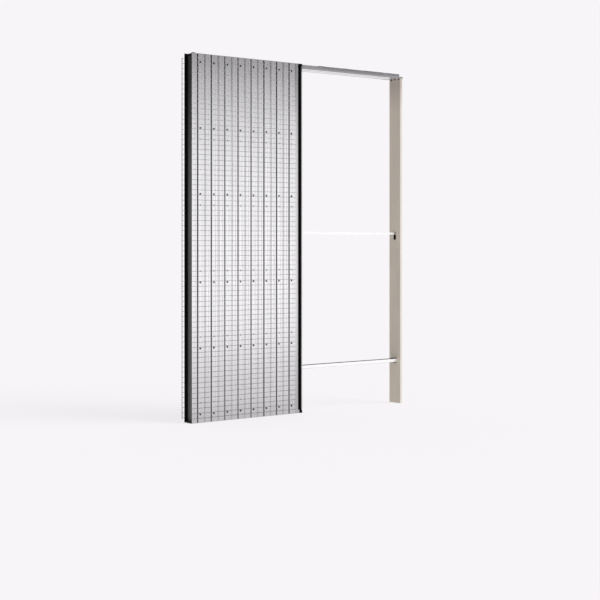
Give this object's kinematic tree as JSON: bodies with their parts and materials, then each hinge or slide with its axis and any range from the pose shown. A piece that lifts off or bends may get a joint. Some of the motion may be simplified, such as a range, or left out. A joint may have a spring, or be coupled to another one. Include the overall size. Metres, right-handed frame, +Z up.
{
  "type": "pocket door frame",
  "caption": "Steel frame for a sliding door that disappears into a wall: a hollow pocket of ribbed staves under wire mesh, a header with a track, and a strike jamb.",
  "frame": {"origin": "centre of the bounding box, on the floor", "axes": "+Z up, +X from the pocket towards the strike jamb, +Y through the wall to the back"},
  "size_m": [1.638, 0.105, 2.13],
  "materials": {
    "galvanised_sheet": "galvanised, satin",
    "mesh_wire": "galvanised",
    "header_steel": "galvanised, dull",
    "black_steel": "satin",
    "black_plastic": "matt",
    "track_aluminium": "satin",
    "pale_flange": "satin",
    "jamb_paint": "satin",
    "seal_pile": "short pile",
    "white_bar": "satin"
  },
  "bodies": {
    "root": {"front_stave_1": "galvanised_sheet", "front_stave_2": "galvanised_sheet", "front_stave_3": "galvanised_sheet", "front_stave_4": "galvanised_sheet", "front_stave_5": "galvanised_sheet", "front_stave_6": "galvanised_sheet", "front_stave_7": "galvanised_sheet", "front_stave_8": "galvanised_sheet", "front_rear_strip": "galvanised_sheet", "front_mouth_post": "black_steel", "front_post_caps": "black_plastic", "front_mouth_seal": "seal_pile", "front_soffit_strip": "pale_flange", "front_mesh_rows": "mesh_wire", "front_mesh_columns": "mesh_wire", "back_stave_1": "galvanised_sheet", "back_stave_2": "galvanised_sheet", "back_stave_3": "galvanised_sheet", "back_stave_4": "galvanised_sheet", "back_stave_5": "galvanised_sheet", "back_stave_6": "galvanised_sheet", "back_stave_7": "galvanised_sheet", "back_stave_8": "galvanised_sheet", "back_rear_strip": "galvanised_sheet", "back_mouth_post": "black_steel", "back_post_caps": "black_plastic", "back_mouth_seal": "seal_pile", "back_soffit_strip": "pale_flange", "back_mesh_rows": "mesh_wire", "back_mesh_columns": "mesh_wire", "rear_upright": "black_steel", "base_channel": "galvanised_sheet", "top_channel": "galvanised_sheet", "track_rail": "track_aluminium", "header_body": "header_steel", "header_mesh_strip": "header_steel", "strike_jamb": "jamb_paint", "head_bracket": "black_steel", "lock_keep": "black_plastic", "upper_spacer_bar": "white_bar", "lower_spacer_bar": "white_bar"}
  },
  "joints": []
}
